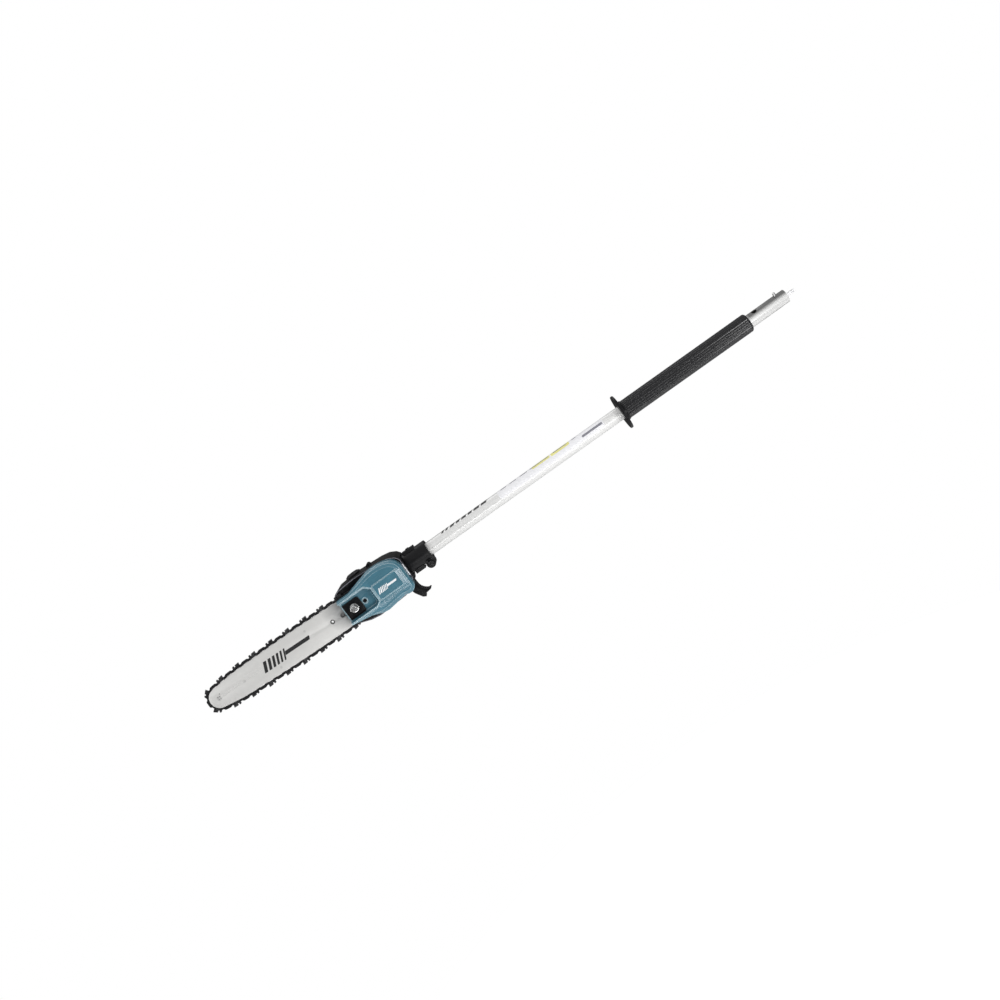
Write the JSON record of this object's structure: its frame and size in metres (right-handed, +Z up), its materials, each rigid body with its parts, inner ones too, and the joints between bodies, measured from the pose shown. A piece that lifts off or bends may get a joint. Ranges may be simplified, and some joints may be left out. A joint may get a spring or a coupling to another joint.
{
  "type": "pole saw",
  "caption": "Pole saw attachment: guide bar with a low-profile saw chain on a black gear head with a teal cover, on a plain aluminium pole with a fluted grip and quick-coupling end.",
  "frame": {"origin": "centre of the pole's coupling end face", "axes": "+X along the pole out of the coupling end, towards the operator; +Z up; the sprocket cover faces -Y"},
  "size_m": [1.2743, 0.0875, 0.1114],
  "materials": {
    "alu_pole": "satin",
    "label_white": "gloss",
    "grip_rubber": "matte",
    "black_plastic": "matte",
    "black_casting": "satin",
    "teal_plastic": "gloss",
    "bar_steel": "brushed",
    "chain_steel": "oiled",
    "cutter_chrome": "polished",
    "bright_steel": "polished",
    "gear_steel": "ground",
    "bush_plastic": "matte",
    "tank_plastic": "translucent",
    "seal_rubber": "matte",
    "pump_metal": "cast",
    "brass_worm": "machined"
  },
  "bodies": {
    "frame": {"pole_tube": "alu_pole", "pole_label": "label_white", "hand_grip": "grip_rubber", "grip_flange": "black_plastic", "shaft_bushes": "bush_plastic", "locating_peg": "bright_steel", "gear_case": "black_casting", "gear_case_cover": "black_casting", "case_cover_bolts": "bright_steel", "clamp_bolt": "chain_steel", "locating_screw": "chain_steel", "pinion_circlip": "gear_steel", "pinion_bearing_outers": "gear_steel", "pinion_bearing_balls": "gear_steel", "output_bearing_outers": "gear_steel", "output_bearing_balls": "gear_steel", "output_seal": "seal_rubber", "pump_body": "pump_metal", "oil_tank": "tank_plastic", "oil_pickup": "bush_plastic", "oil_hose": "seal_rubber", "rear_housing": "black_plastic", "chain_plate": "black_plastic", "plate_screws": "chain_steel", "branch_hook": "black_plastic", "hook_screw": "chain_steel", "bar_stud": "bright_steel", "inner_guide_plate": "bar_steel", "sprocket_cover": "teal_plastic", "cover_panel": "black_plastic", "outer_guide_plate": "bar_steel"},
    "drive_train": {"drive_shaft": "gear_steel", "pinion": "gear_steel", "pinion_bearing_inners": "gear_steel"},
    "output_train": {"output_shaft": "gear_steel", "bevel_gear": "gear_steel", "output_bearing_inners": "gear_steel", "drive_sprocket": "gear_steel", "sprocket_clip": "gear_steel", "pump_worm": "brass_worm"},
    "plunger": {"pump_plunger": "gear_steel"},
    "bar_and_chain": {"bar_side_plates": "bar_steel", "bar_core": "bar_steel", "nose_rivets": "bright_steel", "drive_links": "chain_steel", "tie_straps": "chain_steel", "cutters_left": "cutter_chrome", "cutters_right": "cutter_chrome", "chain_rivets": "chain_steel"},
    "nose_wheel": {"nose_sprocket": "gear_steel"},
    "washer": {"nut_washer": "bright_steel"},
    "nut": {"bar_nut": "bright_steel"},
    "tension_screw": {"tension_screw": "chain_steel"},
    "tension_spindle": {"tension_spindle": "gear_steel"},
    "tension_block": {"tension_block": "pump_metal"},
    "cap_seal": {"cap_seal": "seal_rubber"},
    "cap": {"oil_cap": "black_plastic"}
  },
  "joints": [
    {"name": "drive_spin", "type": "hinge", "parent": "frame", "child": "drive_train", "pos_m": [-0.8, 0, 0], "axis": [1, 0, 0], "continuous": true},
    {"name": "output_spin", "type": "hinge", "parent": "frame", "child": "output_train", "pos_m": [-0.868, 0, 0], "axis": [0, 1, 0], "continuous": true},
    {"name": "pump_spin", "type": "hinge", "parent": "frame", "child": "plunger", "pos_m": [-0.88, -0.0266, -0.0095], "axis": [1, 0, 0], "continuous": true},
    {"name": "bar_slide", "type": "slide", "parent": "frame", "child": "bar_and_chain", "axis": [1, 0, 0], "range_m": [0, 0.004]},
    {"name": "nose_spin", "type": "hinge", "parent": "bar_and_chain", "child": "nose_wheel", "pos_m": [-1.2325, -0.032, 0.004], "axis": [0, 1, 0], "continuous": true},
    {"name": "tension_turn", "type": "hinge", "parent": "frame", "child": "tension_screw", "pos_m": [-0.912, -0.03, -0.0039], "axis": [0, -1, 0], "range_deg": [0, 1440]},
    {"name": "spindle_turn", "type": "hinge", "parent": "frame", "child": "tension_spindle", "pos_m": [-0.93, -0.014, -0.0039], "axis": [-1, 0, 0], "range_deg": [-1440, 0]},
    {"name": "block_slide", "type": "slide", "parent": "frame", "child": "tension_block", "axis": [1, 0, 0], "range_m": [0, 0.004]},
    {"name": "nut_lift", "type": "slide", "parent": "frame", "child": "washer", "axis": [0, -1, 0], "range_m": [0, 0.0025]},
    {"name": "nut_turn", "type": "hinge", "parent": "washer", "child": "nut", "pos_m": [-0.934, -0.045, -0.0034], "axis": [0, -1, 0], "range_deg": [0, 720]},
    {"name": "cap_lift", "type": "slide", "parent": "frame", "child": "cap_seal", "axis": [0, 0, 1], "range_m": [0, 0.006]},
    {"name": "cap_turn", "type": "hinge", "parent": "cap_seal", "child": "cap", "pos_m": [-0.911, 0.005, 0.046], "axis": [0, 0, 1], "range_deg": [0, 720]}
  ],
  "couplings": [
    {"joint": "output_spin", "follows": "drive_spin", "ratio": -0.77778},
    {"joint": "pump_spin", "follows": "drive_spin", "ratio": -0.064815},
    {"joint": "nose_spin", "follows": "drive_spin", "ratio": -0.51852},
    {"joint": "block_slide", "follows": "bar_slide", "ratio": 1},
    {"joint": "tension_turn", "follows": "bar_slide", "rad_per_m": 6283.2},
    {"joint": "spindle_turn", "follows": "bar_slide", "rad_per_m": -6283.2},
    {"joint": "nut_turn", "follows": "nut_lift", "rad_per_m": 5026.5},
    {"joint": "cap_turn", "follows": "cap_lift", "rad_per_m": 2094.4}
  ]
}
